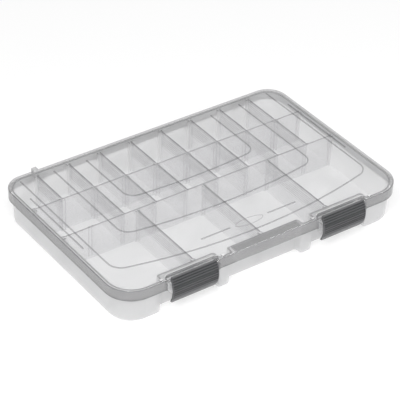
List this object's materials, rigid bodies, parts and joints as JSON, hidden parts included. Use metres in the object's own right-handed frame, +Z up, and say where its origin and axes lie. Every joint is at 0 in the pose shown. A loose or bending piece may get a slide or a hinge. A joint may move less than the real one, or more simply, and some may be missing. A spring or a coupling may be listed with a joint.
{
  "type": "fishing tackle box",
  "caption": "Flat hinged utility tackle box: milky tray split by thin dividers, clear lid with raised lines, two dark snap latches and a front grip niche.",
  "frame": {"origin": "centre of the flat underside of the tray, on the surface the box rests on", "axes": "+X along the long side, to the right as seen from the latches; +Y towards the rear hinge, so the latches face -Y; +Z up"},
  "size_m": [0.356, 0.2431, 0.0443],
  "materials": {
    "tray_plastic": "milky translucent polypropylene, satin",
    "lid_plastic": "clear, slightly grey, glossy",
    "latch_plastic": "dark grey moulded plastic with fine ribs, satin",
    "divider_plastic": "milky translucent polypropylene, satin"
  },
  "bodies": {
    "tray": {"base_tray": "tray_plastic", "long_wall_rear": "divider_plastic", "long_wall_front": "divider_plastic", "divider_back_1": "divider_plastic", "divider_back_2": "divider_plastic", "divider_back_3": "divider_plastic", "divider_back_4": "divider_plastic", "divider_back_5": "divider_plastic", "divider_back_6": "divider_plastic", "divider_back_7": "divider_plastic", "divider_back_8": "divider_plastic", "divider_middle_1": "divider_plastic", "divider_middle_2": "divider_plastic", "divider_middle_3": "divider_plastic", "divider_middle_4": "divider_plastic", "divider_middle_5": "divider_plastic", "divider_middle_6": "divider_plastic", "divider_middle_7": "divider_plastic", "divider_front_1": "divider_plastic", "divider_front_2": "divider_plastic", "divider_front_3": "divider_plastic"},
    "lid": {"lid": "lid_plastic"},
    "latch_left": {"latch_left": "latch_plastic"},
    "latch_right": {"latch_right": "latch_plastic"}
  },
  "joints": [
    {"name": "lid_hinge", "type": "hinge", "parent": "tray", "child": "lid", "pos_m": [0, 0.119, 0.0325], "axis": [-1, 0, 0], "range_deg": [0, 180]},
    {"name": "latch_left_hinge", "type": "hinge", "parent": "lid", "child": "latch_left", "pos_m": [-0.0936, -0.1149, 0.04], "axis": [-1, 0, 0], "range_deg": [0, 110]},
    {"name": "latch_right_hinge", "type": "hinge", "parent": "lid", "child": "latch_right", "pos_m": [0.0936, -0.1149, 0.04], "axis": [-1, 0, 0], "range_deg": [0, 110]}
  ]
}
